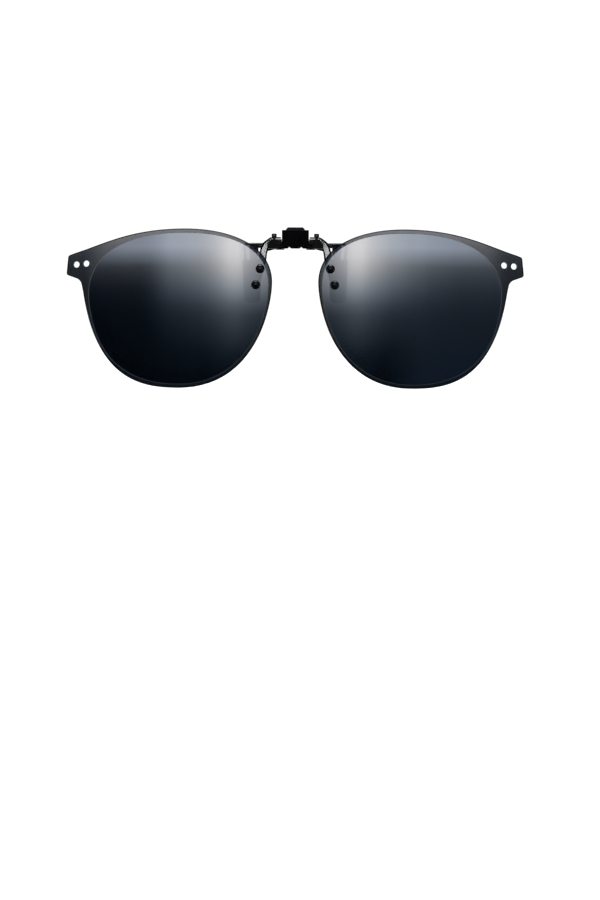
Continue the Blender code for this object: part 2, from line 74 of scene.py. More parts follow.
# ---- lens plate -------------------------------------------------------------------------------
LENS_THICK = 1.1
LENS_RADIUS = 250.0  # spherical curve of the front
LENS_WRAP = math.radians(3.0)  # each lens turns back towards the temple
LENS_MID_X, LENS_MID_Y, LENS_MID_Z = 38.0, -1.2, -20.0
TOP = (34.1, 4.67)
NOSE = (7.18, -12.1)
BOTTOM = (36.4, -45.1)
TEMPLE = (66.35, -15.1)
TAB_TOP = (69.2, -3.2)
TAB_CORNERS = ((67.12, -11.5, 2.6), (71.65, -9.95, 0.9), (71.1, -3.95, 0.9))  # x, z, radius
TAB_HOLES = ((68.5, -6.7), (65.4, -6.4))
TAB_HOLE_R = 0.97
LINE_TOP = (33.6, 3.4)  # the line cut into the front, which crosses the root of the tab
LINE_NOSE = (8.35, -12.7)
LINE_BOTTOM = (36.6, -43.9)
LINE_TEMPLE = (64.5, -17.0)
LINE_HALF, LINE_DEPTH = 0.13, 0.05
BAND_DROP, BAND_FADE = 0.20, 1.3  # the band outside the line drops back, over about so far
CHAMFER = 0.37  # of the rim's front

# ---- rivets and arms --------------------------------------------------------------------------
RIVETS = ((10.94, -7.85), (12.29, -12.83))
RIVET_HEAD_R, RIVET_HEAD_H = 1.42, 1.01
RIVET_SHANK_R, RIVET_HOLE_R, RIVET_TAIL_R = 0.6, 0.75, 0.95
ARM_WIDTH, ARM_THICK = 2.4, 0.5
ARM_TOP_Z = 1.85  # middle of the strip where it lies on the wing block
SCREW_X, SCREW_R, SCREW_HOLE_R = 6.62, 0.45, 0.6
SCREW_HEAD_R, SCREW_HEAD_LOW, SCREW_TOP = 0.8, 2.14, 3.2

# ---- flip hinge -------------------------------------------------------------------------------
COVER_X, COVER_FRONT, COVER_BACK, COVER_LOW, COVER_HIGH = 4.2, -2.2, 2.6, -1.54, 4.24
COVER_WALL = 0.5
KNUCKLE_R, KNUCKLE_IN, KNUCKLE_OUT = 1.9, 4.27, 5.5
AXLE_HOLE_R = 1.1
WING_IN, WING_OUT, WING_LOW, WING_TOP, WING_DEPTH = 5.3, 8.6, -1.54, 1.42, 3.0

# ---- front jaw --------------------------------------------------------------------------------
BAR_X, BAR_Y = 7.4, (3.6, 5.0)
EAR_X, EAR_R = (2.7, 4.1), 0.95
WIRE_R, WIRE_Y = 0.4, 4.2
WIRE_BEND = 1.0  # radius of each bend
LOOP_OUT, LOOP_IN, LOOP_LOW, LOOP_HIGH = 16.0, 11.4, -15.6, -1.15
FRONT_PAD_Y = (3.15, 5.25)

# ---- rear jaw ---------------------------------------------------------------------------------
AXLE_R, AXLE_X = 0.5, 4.6
BARREL_R, BARREL_X = 1.05, 1.45
WALL_Y = (7.9, 8.6)
TAB_Y = (6.1, 6.9)
BLADE_X, BLADE_Y = 13.05, (6.55, 7.05)
REAR_PAD_Y = (5.65, 7.75)


# ---- outlines and paths -----------------------------------------------------------------------
def bezier(p0, p1, p2, p3, steps):
    """Points of a cubic curve, without the last one."""
    t = np.linspace(0, 1, steps, endpoint=False)[:, None]
    p0, p1, p2, p3 = (np.array(p, float) for p in (p0, p1, p2, p3))
    return (1 - t) ** 3 * p0 + 3 * (1 - t) ** 2 * t * p1 + 3 * (1 - t) * t * t * p2 + t**3 * p3


def circle(sides):
    """Points of a unit circle."""
    turns = [2 * math.pi * k / sides for k in range(sides)]
    return [(math.cos(a), math.sin(a)) for a in turns]


def fillet(before, here, after, radius, steps, bend=None):
    """Points of the arc that rounds the corner at here.

    radius is that of the arc which touches both sides; bend, where it is given, is the radius of the
    arc that is drawn instead, about the same middle.
    """
    one, two = (before - here).normalized(), (after - here).normalized()
    half = one.angle(two) / 2
    middle = here + (one + two).normalized() * radius / math.sin(half)
    start = here + one * radius / math.tan(half) - middle
    end = here + two * radius / math.tan(half) - middle
    return [middle + start.slerp(end, k / steps) * (bend or radius) for k in range(steps + 1)]


def rounded(corners, steps=8):
    """A closed outline from (a, b, radius) corners; a radius of 0 keeps a corner sharp."""
    spots = [Vector((a, b, 0)) for a, b, _ in corners]
    outline = []
    for i, (a, b, radius) in enumerate(corners):
        if radius == 0:
            outline.append((a, b))
            continue
        after = spots[(i + 1) % len(spots)]
        outline += [tuple(p.xy) for p in fillet(spots[i - 1], spots[i], after, radius, steps)]
    return outline


def bent(corners, bend, steps=12):
    """An open path from (x, y, z, radius) corners, with radius 0 at both ends.

    radius places the middle of each bend, as an arc of that radius would touch both legs, and bend is
    the radius that all of them have.
    """
    spots = [Vector(corner[:3]) for corner in corners]
    path = [spots[0]]
    for i in range(1, len(spots) - 1):
        path += fillet(spots[i - 1], spots[i], spots[i + 1], corners[i][3], steps, bend)
    return path + [spots[-1]]


def symmetric(half):
    """An outline from its half at -X."""
    return [*half, *[(-x, z) for x, z in reversed(half)]]


# ---- solids -----------------------------------------------------------------------------------
PLACE = {
    "X": lambda a, b, h: (h, a, b),
    "Y": lambda a, b, h: (a, h, b),
    "Z": lambda a, b, h: (a, b, h),
}


def to_mesh(bm):
    """A mesh from a bmesh, with its faces pointing out."""
    bmesh.ops.recalc_face_normals(bm, faces=bm.faces)
    mesh = bpy.data.meshes.new("shape")
    bm.to_mesh(mesh)
    bm.free()
    return mesh


def prism(outline, low, high, along):
    """An outline extruded along X, Y or Z.  It is (y, z), (x, z) or (x, y)."""
    place = PLACE[along]
    bm = bmesh.new()
    face = bm.faces.new([bm.verts.new(place(a, b, low)) for a, b in outline])
    grown = bmesh.ops.extrude_face_region(bm, geom=[face])["geom"]
    ends = [v for v in grown if isinstance(v, bmesh.types.BMVert)]
    bmesh.ops.translate(bm, vec=place(0, 0, high - low), verts=ends)
    return to_mesh(bm)


def block(x, y, z):
    """A box from its ranges along X, Y and Z."""
    spans = [sorted(x), sorted(y), sorted(z)]
    bm = bmesh.new()
    bmesh.ops.create_cube(bm, size=1.0)
    for v in bm.verts:
        v.co = [(low + high) / 2 + c * (high - low) for c, (low, high) in zip(v.co, spans)]
    return to_mesh(bm)


def turned(profile, base, axis, sides=40):
    """A (radius, distance) profile turned about the axis through base, closed at radius 0."""
    axis, base = Vector(axis).normalized(), Vector(base)
    across = axis.orthogonal().normalized()
    other = axis.cross(across)
    bm = bmesh.new()
    rings = []
    for radius, along in profile:
        ring = circle(sides) if radius else [(0, 0)]
        rings.append([bm.verts.new(base + axis * along + (across * c + other * s) * radius) for c, s in ring])
    for one, two in zip(rings, rings[1:]):
        for k in range(sides):
            corners = (one[k % len(one)], one[(k + 1) % len(one)], two[(k + 1) % len(two)], two[k % len(two)])
            bm.faces.new(list(dict.fromkeys(corners)))
    return to_mesh(bm)


def pin(radius, low, high, base, axis, sides=40):
    """A plain cylinder along the axis through base, to cut a hole with."""
    return turned([(0, low), (radius, low), (radius, high), (0, high)], base, axis, sides)


def rod(radius, low, high, y, z, sides=40, edge=0.12):
    """A cylinder along X with broken edges."""
    start, end = (radius - edge, low), (radius - edge, high)
    profile = [(0, low), start, (radius, low + edge), (radius, high - edge), end, (0, high)]
    return turned(profile, (0, y, z), (1, 0, 0), sides)


def loft(rings):
    """A skin over rings of equally many points, closed at both ends."""
    bm = bmesh.new()
    rings = [[bm.verts.new(point) for point in ring] for ring in rings]
    sides = len(rings[0])
    for one, two in zip(rings, rings[1:]):
        for k in range(sides):
            after = (k + 1) % sides
            bm.faces.new((one[k], one[after], two[after], two[k]))
    bm.faces.new(rings[0])
    bm.faces.new(rings[-1])
    return to_mesh(bm)


def tube(path, radius, sides=20):
    """A round wire along a path."""
    path = [Vector(point) for point in path]
    last = len(path) - 1
    across = (path[1] - path[0]).orthogonal()
    rings = []
    for i, point in enumerate(path):
        along = (path[min(i + 1, last)] - path[max(i - 1, 0)]).normalized()
        across = (across - along * across.dot(along)).normalized()
        other = along.cross(across)
        rings.append([point + (across * c + other * s) * radius for c, s in circle(sides)])
    return loft(rings)


def boolean(mesh, others, operation):
    """A mesh after a Boolean with each of the others in turn."""
    for other in others:
        kept, tool = bpy.data.objects.new("kept", mesh), bpy.data.objects.new("tool", other)
        for obj in (kept, tool):
            bpy.context.scene.collection.objects.link(obj)
        modifier = kept.modifiers.new("shape", "BOOLEAN")
        modifier.operation = operation
        modifier.solver = "EXACT"
        modifier.object = tool
        bpy.context.view_layer.update()
        done = kept.evaluated_get(bpy.context.evaluated_depsgraph_get())
        mesh = bpy.data.meshes.new_from_object(done)
        for obj in (kept, tool):
            bpy.data.objects.remove(obj)
    return mesh


def join(mesh, *others):
    return boolean(mesh, others, "UNION")


def cut(mesh, *others):
    return boolean(mesh, others, "DIFFERENCE")


def mirrored(mesh):
    """A copy on the other side of the symmetry plane."""
    copy = mesh.copy()
    copy.transform(Matrix.Scale(-1, 4, (1, 0, 0)))
    copy.flip_normals()
    return copy


# ---- material nodes ---------------------------------------------------------------------------
class Nodes:
    """A material's node tree, on object coordinates in metres."""

    def __init__(self, name):
        self.mat = bpy.data.materials.new(name)
        self.mat.use_nodes = True
        self.tree = self.mat.node_tree
        self.shader = self.tree.nodes["Principled BSDF"]
        self.coord = self.node("TexCoord").outputs["Object"]

    def node(self, kind, inputs=None, **settings):
        """A new node; each of its inputs takes a value or another node's socket."""
        node = self.tree.nodes.new(f"ShaderNode{kind}")
        for key, value in settings.items():
            setattr(node, key, value)
        for key, value in (inputs or {}).items():
            if isinstance(value, bpy.types.NodeSocket):
                self.tree.links.new(value, node.inputs[key])
            else:
                node.inputs[key].default_value = value
        return node

    def axis(self, letter):
        return self.node("SeparateXYZ", {"Vector": self.coord}).outputs[letter]

    def combine(self, operation, one, two=0.0):
        return self.node("Math", {0: one, 1: two}, operation=operation).outputs[0]

    def vector(self, operation, *values):
        return self.node("VectorMath", dict(enumerate(values)), operation=operation).outputs

    def noise(self, scale, detail=3.0, stretch=(1, 1, 1)):
        """Noise of about scale mm, drawn out along an axis by stretch."""
        fine = tuple(1 / (scale * MM * s) for s in stretch)
        mapped = self.node("Mapping", {"Vector": self.coord, "Scale": fine}).outputs[0]
        return self.node("TexNoise", {"Vector": mapped, "Scale": 1.0, "Detail": detail}).outputs["Fac"]

    def to_range(self, value, start, end, low, high, smooth=False):
        """A value from start to end brought to low to high, and held there beyond them."""
        ends = {"From Min": start, "From Max": end, "To Min": low, "To Max": high}
        kind = "SMOOTHSTEP" if smooth else "LINEAR"
        return self.node("MapRange", {"Value": value, **ends}, interpolation_type=kind).outputs["Result"]

    def ramp(self, value, stops):
        """A level or a colour read from (value, level) stops between 0 and 1."""
        node = self.node("ValToRGB", {"Fac": value})
        elements = node.color_ramp.elements
        while len(elements) < len(stops):
            elements.new(0.5)
        for element, (at, level) in zip(elements, stops):
            element.position = at
            element.color = (*level, 1) if isinstance(level, tuple) else (level, level, level, 1)
        return node.outputs["Color"]

    def graded(self, value, stops):
        """A ramp whose stops are in metres."""
        low, high = stops[0][0], stops[-1][0]
        span = self.to_range(value, low, high, 0.0, 1.0)
        return self.ramp(span, [((at - low) / (high - low), level) for at, level in stops])


class Look(Nodes):
    """A Principled material."""

    def __init__(self, name, colour, roughness, metallic=0.0, **sockets):
        super().__init__(name)
        self.shader.inputs["Base Color"].default_value = (*colour, 1)
        self.shader.inputs["Roughness"].default_value = roughness
        self.shader.inputs["Metallic"].default_value = metallic
        for key, value in sockets.items():
            self.shader.inputs[key.replace("_", " ")].default_value = value

    def set(self, socket, value):
        self.tree.links.new(value, self.shader.inputs[socket])

    def mottle(self, noise, dark, light, start=0.3, end=0.7):
        """A base colour that goes from dark to light as the noise goes from start to end."""
        self.set("Base Color", self.ramp(noise, ((start, dark), (end, light))))

    def wear(self, noise, low, high, start=0.3, end=0.7):
        """A roughness that goes from low to high as the noise goes from start to end."""
        self.set("Roughness", self.to_range(noise, start, end, low, high))

    def bump(self, height, depth):
        """Relief of a depth in mm."""
        node = self.node("Bump", {"Height": height, "Strength": 1.0, "Distance": depth * MM})
        self.set("Normal", node.outputs["Normal"])


class Glow(Nodes):
    """A material that only gives light."""

    def __init__(self, name):
        super().__init__(name)
        self.tree.nodes.remove(self.shader)

    def emission(self, strength, colour=(1, 1, 1, 1)):
        return self.node("Emission", {"Color": colour, "Strength": strength}).outputs[0]

    def show(self, light):
        self.tree.links.new(light, self.tree.nodes["Material Output"].inputs["Surface"])


# ---- metal and rubber -------------------------------------------------------------------------
def plated(name, dark, light, roughness, metallic=0.0, grain=0.25, depth=0.004, specular=0.5):
    """Black plating: faint orange peel, worn a little lighter and duller in patches."""
    low, high = roughness
    look = Look(name, dark, low, metallic, Specular_IOR_Level=specular)
    patches = look.noise(2.2, 5)
    look.mottle(patches, dark, light, 0.35, 0.75)
    look.wear(patches, low, high)
    look.bump(look.noise(grain, 4), depth)
    return look


def brushed_steel():
    look = Look("steel", (0.36, 0.36, 0.37), 0.3, 1.0)
    brushed = look.noise(0.05, 3, (1, 1, 40))
    look.mottle(look.noise(1.5), (0.30, 0.30, 0.31), (0.42, 0.42, 0.43))
    look.wear(brushed, 0.24, 0.42)
    look.bump(brushed, 0.002)
    return look


def moulded_rubber():
    look = Look("black_rubber", (0.014, 0.014, 0.015), 0.62)
    grain = look.noise(0.12, 4)
    look.mottle(look.noise(1.8), (0.009, 0.009, 0.010), (0.022, 0.022, 0.022), 0.35, 0.7)
    look.wear(grain, 0.5, 0.72)
    look.bump(grain, 0.02)
    return look


def smoky_sleeve():
    look = Look("smoke_sleeve", (0.03, 0.031, 0.034), 0.32, IOR=1.45)
    cloud = look.noise(2.5, 3)
    look.mottle(cloud, (0.018, 0.019, 0.021), (0.045, 0.046, 0.05))
    look.wear(cloud, 0.25, 0.42)
    look.bump(look.noise(0.3), 0.008)
    return look


black = plated("black_plate", (0.0015, 0.0015, 0.002), (0.004, 0.004, 0.0045), (0.22, 0.36), specular=0.05)
# painted light: a lighter copy of the black plate for the lever, standing for the light that falls on it from
# above
lever_painted_light = plated(
    "lever_painted_light", (0.003, 0.003, 0.0035), (0.01, 0.01, 0.0105), (0.3, 0.45), specular=0.15
)
cover_black = plated(
    "cover_black", (0.0006, 0.0006, 0.0008), (0.0016, 0.0016, 0.002), (0.3, 0.42),
    grain=0.18, depth=0.006, specular=0.015,
)
gloss_black = plated(
    "black_gloss", (0.001, 0.001, 0.0015), (0.003, 0.003, 0.0035), (0.04, 0.07),
    grain=0.6, depth=0.0008, specular=0.24,
)
nickel = plated("black_nickel", (0.05, 0.05, 0.055), (0.11, 0.11, 0.115), (0.2, 0.34), 1.0)
arm_black = plated("arm_black", (0.012, 0.012, 0.013), (0.03, 0.03, 0.032), (0.2, 0.3), 1.0)
# painted reflection: a light grey copy of the arm's finish for the one face turned to the front, standing for
# the white it mirrors
arm_painted_reflection = plated("arm_painted_reflection", (0.58, 0.58, 0.57), (0.7, 0.7, 0.69), (0.34, 0.46), 0.45)
steel = brushed_steel()
rubber = moulded_rubber()
sleeve_look = smoky_sleeve()

# ---- lens looks -------------------------------------------------------------------------------
FRONT, LINE, BAND, EDGE, BACK, RIM = range(6)  # a lens's material slots
SPOT_R, SPOT_LEAST = 4.0, 0.02  # a clear spot's even middle, and what is left outside the spot, where the dark lens is painted shade
RIM_LOW, RIM_HIGH = -45.0, 5.0  # heights of the rim's bottom and of the brow
RIM_TEMPLE_SHADE, RIM_TEMPLE_SHADE_LEAST = (57.0, 67.0), 0.25  # over that stretch the rim dims, to so much, as painted shade
RIM_CLEAR_PAINTED_SHADE = (
    (0.0, 0.0), (0.1, 0.0), (0.2, 0.02), (0.3, 0.06), (0.46, 0.1),
    (0.6, 0.15), (0.74, 0.23), (0.88, 0.5), (1.0, 1.0),
)  # from the bottom to the brow; darker towards the bottom, painted shade
# the engraved line's colour by height, darker towards the bottom: painted shade
LINE_PAINTED_SHADE = ((0.0, 0.0), (0.4, 0.1), (0.6, 0.6), (1.0, 1.0))


def lens_look(name, colour, roughness, metallic, clear, **sockets):
    """A lens face; clear gives how much of the light goes through it."""
    low, high = roughness
    look = Look(name, colour, low, metallic, **sockets)
    look.wear(look.noise(9, 4, (1, 1, 2.5)), low, high, 0.35, 0.7)
    look.set("Alpha", look.combine("SUBTRACT", 1.0, clear(look)))
    return look


def near_nose(side, most, x, z, far):
    """Clearest about a spot beside the nose, where the jaws show behind the lens; the lens grows dark away
    from the spot, which is painted shade.
    """
    spot = tuple(FLIP + Vector((side * x, 0, z)) * MM)

    def clear(look):
        away = look.vector("DISTANCE", look.coord, spot)["Value"]
        return look.to_range(away, SPOT_R * MM, far * MM, most, SPOT_LEAST, smooth=True)

    return clear


def painted_shade_on_rim(look, stops):
    """A level by height on the rim, 1 at the brow, and less towards the temple: painted shade, darker towards
    the bottom and the temple.
    """
    height = look.to_range(look.axis("Z"), FLIP.z + RIM_LOW * MM, FLIP.z + RIM_HIGH * MM, 0.0, 1.0)
    start, end = (x * MM for x in RIM_TEMPLE_SHADE)
    temple = look.to_range(look.combine("ABSOLUTE", look.axis("X")), start, end, 1.0, RIM_TEMPLE_SHADE_LEAST, True)
    return look.combine("MULTIPLY", look.ramp(height, stops), temple)


def painted_shade_by_height(most):
    """The uncoated rim: clear at the brow, dark towards the temple and at the bottom, which is painted shade.
    """
    return lambda look: look.combine("MULTIPLY", painted_shade_on_rim(look, RIM_CLEAR_PAINTED_SHADE), most)


def front_look(tag, side):
    """The smoky mirror coat."""
    return lens_look(
        f"lens_front_{tag}", (0.0005, 0.0018, 0.004), (0.03, 0.05), 0.0,
        # clear by the nose and dark away from it: painted shade
        near_nose(side, most=0.2, x=9, z=-4, far=24), IOR=2.2, Specular_IOR_Level=0.9,
    )


def line_look(tag):
    """The engraved line, duller and a little lighter than what lies beside it, with painted shade that
    darkens it towards the bottom and the temple.
    """
    look = lens_look(
        f"lens_line_{tag}", (0.05, 0.055, 0.06), (0.2, 0.28), 0.0,
        painted_shade_by_height(0.4), IOR=1.5, Specular_IOR_Level=0.15,
    )
    # painted shade: the line's colour darkens towards the bottom and the temple
    look.mottle(painted_shade_on_rim(look, LINE_PAINTED_SHADE), (0.014, 0.016, 0.019), (0.06, 0.065, 0.07), 0.0, 1.0)
    return look


def band_look(tag):
    """The uncoated band between the line and the edge."""
    return lens_look(
        f"lens_band_{tag}", (0.003, 0.005, 0.008), (0.05, 0.09), 0.0,
        # clearness by height and towards the temple: painted shade
        painted_shade_by_height(0.56), IOR=1.45, Specular_IOR_Level=0.25, Specular_Tint=(0.8, 0.95, 1.1, 1),
    )


def edge_look(tag):
    """The dark ground edge, and the walls of the holes."""
    look = Look(f"lens_edge_{tag}", (0.001, 0.001, 0.0015), 0.2, Specular_IOR_Level=0.15)
    look.wear(look.noise(0.5), 0.15, 0.3)
    return look


def back_look(tag, side):
    """The back's violet coat, bluer beside the nose and clouded a little."""
    look = lens_look(
        f"lens_back_{tag}", (0.012, 0.008, 0.09), (0.07, 0.11), 0.9,
        # clear by the nose and dark away from it: painted shade
        near_nose(side, most=0.36, x=11, z=-7, far=17),
    )
    across = look.to_range(look.axis("X"), side * 10 * MM, side * 50 * MM, 0.0, 0.8)
    cloud = look.to_range(look.noise(30, 2), 0.3, 0.7, 0.0, 0.2)
    violet = ((0.0, (0.011, 0.009, 0.17)), (0.45, (0.0105, 0.0065, 0.075)), (1.0, (0.014, 0.009, 0.06)))
    look.set("Base Color", look.ramp(look.combine("ADD", across, cloud), violet))
    return look


def rim_look(tag):
    """The back of the band."""
    return lens_look(
        f"lens_rim_{tag}", (0.014, 0.017, 0.095), (0.16, 0.24), 0.3,
        lambda look: look.to_range(look.noise(5), 0.3, 0.7, 0.28, 0.32), Specular_IOR_Level=0.1,
    )


def lens_looks(tag, side):
    """The looks of one lens, in the order of its slots."""
    return [
        front_look(tag, side), line_look(tag), band_look(tag), edge_look(tag),
        back_look(tag, side), rim_look(tag),
    ]


LENS_LOOKS = {"right": lens_looks("right", 1), "left": lens_looks("left", -1)}


# ---- pieces on their bodies -------------------------------------------------------------------
def piece(node, body, mesh, looks, slot, bevel=0.0, sharp=35, segments=2):
    """Put a mesh over the CAD node that it stands for; further slots take the last look."""
    name = f"v_{node}"
    mesh.transform(Matrix.Translation(FLIP) @ Matrix.Scale(MM, 4))
    mesh.name = name
    while len(mesh.materials) < len(looks):
        mesh.materials.append(None)
    for k in range(len(mesh.materials)):
        mesh.materials[k] = looks[min(k, len(looks) - 1)].mat
    mesh.shade_smooth()
    if sharp:
        mesh.set_sharp_from_angle(angle=math.radians(sharp))
    obj = bpy.data.objects.new(name, mesh)
    bpy.context.scene.collection.objects.link(obj)
    if bevel:
        modifier = obj.modifiers.new("edges", "BEVEL")
        modifier.width = bevel * MM
        modifier.segments = segments
        modifier.limit_method = "ANGLE"
        modifier.angle_limit = math.radians(40)
        modifier.harden_normals = True
    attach(obj, body)
    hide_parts(node)


def pair(node, body, mesh, looks, slot, **more):
    """A piece on the right and its mirror image on the left."""
    other = mirrored(mesh)
    piece(f"{node}_right", body, mesh, looks, slot, **more)
    piece(f"{node}_left", body, other, looks, slot, **more)


# ---- lens surfaces ----------------------------------------------------------------------------
CENTRE = np.array((LENS_MID_X, LENS_MID_Z))


def lens_y(x, z):
    """The plain front surface, before the band drops back."""
    sag = ((x - LENS_MID_X) ** 2 + (z - LENS_MID_Z) ** 2) / (2 * LENS_RADIUS)
    return LENS_MID_Y + sag + (x - LENS_MID_X) * math.tan(LENS_WRAP)


def lens_slope(x, z):
    """How fast the plain front surface goes back along X and along Z."""
    return (x - LENS_MID_X) / LENS_RADIUS + math.tan(LENS_WRAP), (z - LENS_MID_Z) / LENS_RADIUS


def lens_normal(x, z):
    """Unit normal of the plain front surface, pointing back towards the wearer."""
    along_x, along_z = lens_slope(x, z)
    return Vector((-along_x, 1, -along_z)).normalized()


def outline(steps=84):
    """The lens's edge with its tab, round from the tab's top by way of the nose."""
    tab = rounded([(*TEMPLE, 0), *TAB_CORNERS, (*TAB_TOP, 0)])[:-1]
    return np.vstack((
        bezier(TAB_TOP, (60.0, -0.35), (TOP[0] + 17.3, TOP[1]), TOP, steps),
        bezier(TOP, (TOP[0] - 14.1, TOP[1]), (NOSE[0], NOSE[1] + 11.6), NOSE, steps),
        bezier(NOSE, (NOSE[0], NOSE[1] - 6.5), (BOTTOM[0] - 25.0, BOTTOM[1]), BOTTOM, steps),
        bezier(BOTTOM, (BOTTOM[0] + 10.5, BOTTOM[1]), (61.9, -43.9), TEMPLE, steps),
        tab,
    ))


def engraved(steps=60):
    """The line cut into the front, about 1.2 mm inside the edge and across the root of the tab."""
    top, nose, low, out = LINE_TOP, LINE_NOSE, LINE_BOTTOM, LINE_TEMPLE
    return np.vstack((
        bezier(out, (out[0] + 0.7, -3.4), (top[0] + 19.4, top[1] + 0.3), top, steps),
        bezier(top, (top[0] - 13.8, top[1]), (nose[0], nose[1] + 11.4), nose, steps),
        bezier(nose, (nose[0], nose[1] - 6.2), (low[0] - 24.4, low[1]), low, steps),
        bezier(low, (low[0] + 10.5, low[1]), (62.6, -40.5), out, steps),
    ))


def polar(points):
    """The angles and radii of points about the lens's middle."""
    away = points - CENTRE
    return np.arctan2(away[:, 1], away[:, 0]), np.hypot(away[:, 0], away[:, 1])


LINE_ANGLES, LINE_RADII = polar(engraved())
ORDER = np.argsort(LINE_ANGLES)


def line_radius(angle):
    """The engraved line's distance from the lens's middle."""
    return np.interp(angle, LINE_ANGLES[ORDER], LINE_RADII[ORDER], period=2 * math.pi)


def fall(distance):
    """How far the band drops back, a distance outside the engraved line."""
    return BAND_DROP * (1 - np.exp(-np.clip(distance, 0, None) / BAND_FADE))


def front_at(x, z):
    """The front surface with its band."""
    angle, radius = polar(np.stack((x, z), -1))
    return lens_y(x, z) + fall(radius - line_radius(angle))


# ---- lenses -----------------------------------------------------------------------------------
def lens_rings():
    """Rings from the middle of the front, over the edge, to the middle of the back, with slots."""
    angle, edge_r = polar(outline())
    line_r = line_radius(angle)
    ray = np.stack((np.cos(angle), np.sin(angle)), -1)
    spread = np.linspace(0.08, 1, 16)[:-1]
    band_wide = edge_r - CHAMFER - (line_r + LINE_HALF)

    def ring(kind, radius, depth=0.0, back=False):
        x, z = (CENTRE + ray * radius[:, None]).T
        y = lens_y(x, z) + (LENS_THICK if back else fall(radius - line_r)) + depth
        return np.stack((x, y, z), -1), kind

    return [
        *[ring(FRONT, line_r * part) for part in spread],
        ring(FRONT, line_r - LINE_HALF),
        ring(LINE, line_r, LINE_DEPTH),
        ring(LINE, line_r + LINE_HALF),
        *[ring(BAND, line_r + LINE_HALF + band_wide * part) for part in (0.2, 0.45, 0.7, 1.0)],
        ring(EDGE, edge_r - 0.12, 0.12),
        ring(EDGE, edge_r, 0.28),
        ring(EDGE, edge_r, -0.12, back=True),
        ring(EDGE, edge_r - 0.12, back=True),
        ring(RIM, line_r, back=True),
        *[ring(BACK, line_r * part, back=True) for part in spread[::-1]],
    ]


def with_slots(mesh, kinds):
    """Give a mesh a lens's slots, and each of its faces the slot of its kind."""
    for look in LENS_LOOKS["right"]:
        mesh.materials.append(look.mat)
    mesh.polygons.foreach_set("material_index", kinds)
    return mesh


def lens_blank():
    """The lens before drilling."""
    rings = lens_rings()
    n = len(rings[0][0])
    middles = (LENS_MID_X, LENS_MID_Y, LENS_MID_Z), (LENS_MID_X, LENS_MID_Y + LENS_THICK, LENS_MID_Z)
    points = np.vstack([*(ring for ring, _ in rings), *middles])
    faces, kinds = [], []
    for k, (_, kind) in enumerate(rings[1:]):
        for i in range(n):
            j = (i + 1) % n
            faces.append((k * n + i, k * n + j, (k + 1) * n + j, (k + 1) * n + i))
            kinds.append(kind)
    front_middle, last = len(rings) * n, (len(rings) - 1) * n
    for i in range(n):
        j = (i + 1) % n
        faces += [(front_middle, j, i), (front_middle + 1, last + i, last + j)]
        kinds += [FRONT, BACK]
    mesh = bpy.data.meshes.new("lens")
    mesh.from_pydata(points.tolist(), [], faces)
    with_slots(mesh, kinds)
    bm = bmesh.new()
    bm.from_mesh(mesh)
    bmesh.ops.recalc_face_normals(bm, faces=bm.faces)
    bm.to_mesh(mesh)
    bm.free()
    return mesh


def drill(x, z, radius):
    """A drill square to the lens at (x, z), whose hole has the look of the edge."""
    bit = pin(radius, -4, 6, (x, lens_y(x, z), z), lens_normal(x, z), 36)
    return with_slots(bit, [EDGE] * len(bit.polygons))


def true_normals(mesh, side):
    """Give the polished faces the exact normals of their curve, so that reflections run smooth."""
    mesh.shade_smooth()
    mesh.set_sharp_from_angle(angle=math.radians(30))
    normals = [Vector(n.vector) for n in mesh.corner_normals]
    step = 0.02
    for face in mesh.polygons:
        kind = face.material_index
        if kind not in (FRONT, BACK, RIM, BAND):
            continue
        for k in face.loop_indices:
            co = mesh.vertices[mesh.loops[k].vertex_index].co
            x, z = abs(co.x), co.z
            along_x, along_z = lens_slope(x, z)
            if kind == BAND:
                around = np.array((x - step, x + step, x, x)), np.array((z, z, z - step, z + step))
                left, right, under, over = front_at(*around)
                along_x, along_z = (right - left) / (2 * step), (over - under) / (2 * step)
            normal = Vector((side * along_x, -1, along_z)).normalized()
            normals[k] = normal if kind in (FRONT, BAND) else -normal
    mesh.normals_split_custom_set(normals)


drills = [drill(x, z, TAB_HOLE_R) for x, z in TAB_HOLES] + [drill(x, z, RIVET_HOLE_R) for x, z in RIVETS]
lens = cut(lens_blank(), *drills)
for tag, side, shape in (("left", -1, mirrored(lens)), ("right", 1, lens)):
    true_normals(shape, side)
    piece(f"lens_{tag}", "flip_frame", shape, LENS_LOOKS[tag], "dark_lens", sharp=0)


# ---- rivets -----------------------------------------------------------------------------------
def rivet(x, z):
    """A domed head in front, and a shank through the lens and the arm with a peened tail."""
    rim_h, tail_h = 0.06, 0.3
    tail = LENS_THICK + GAP + ARM_THICK + GAP
    dome_h, turns = RIVET_HEAD_H - rim_h, np.linspace(0, math.pi / 2, 12)[:-1]
    dome = [(RIVET_HEAD_R * math.cos(a), -rim_h - dome_h * math.sin(a)) for a in turns]
    peen = [(RIVET_TAIL_R * math.cos(a), tail + rim_h + tail_h * math.sin(a)) for a in (0, 0.4, 0.8, 1.2)]
    profile = [
        (0, -RIVET_HEAD_H), *reversed(dome), (RIVET_HEAD_R - 0.04, 0), (RIVET_SHANK_R, 0),
        (RIVET_SHANK_R, tail), (RIVET_TAIL_R, tail), *peen, (0, tail + rim_h + tail_h),
    ]
    return turned(profile, (x, lens_y(x, z), z), lens_normal(x, z), 44)


for row, (x, z) in zip(("upper", "lower"), RIVETS):
    pair(f"rivet_{row}", "flip_frame", rivet(x, z), [gloss_black], "black_gloss")


# ---- lens arms --------------------------------------------------------------------------------
ARM_ABOVE, ARM_BELOW = -3.2, 7.0  # where the arm's straight foot starts and ends, from the upper rivet
ARM_TWISTED = 0.85  # the part of the bend by which the strip has turned
ARM_SECTION_SIDES = 8  # as many as arm_section has points


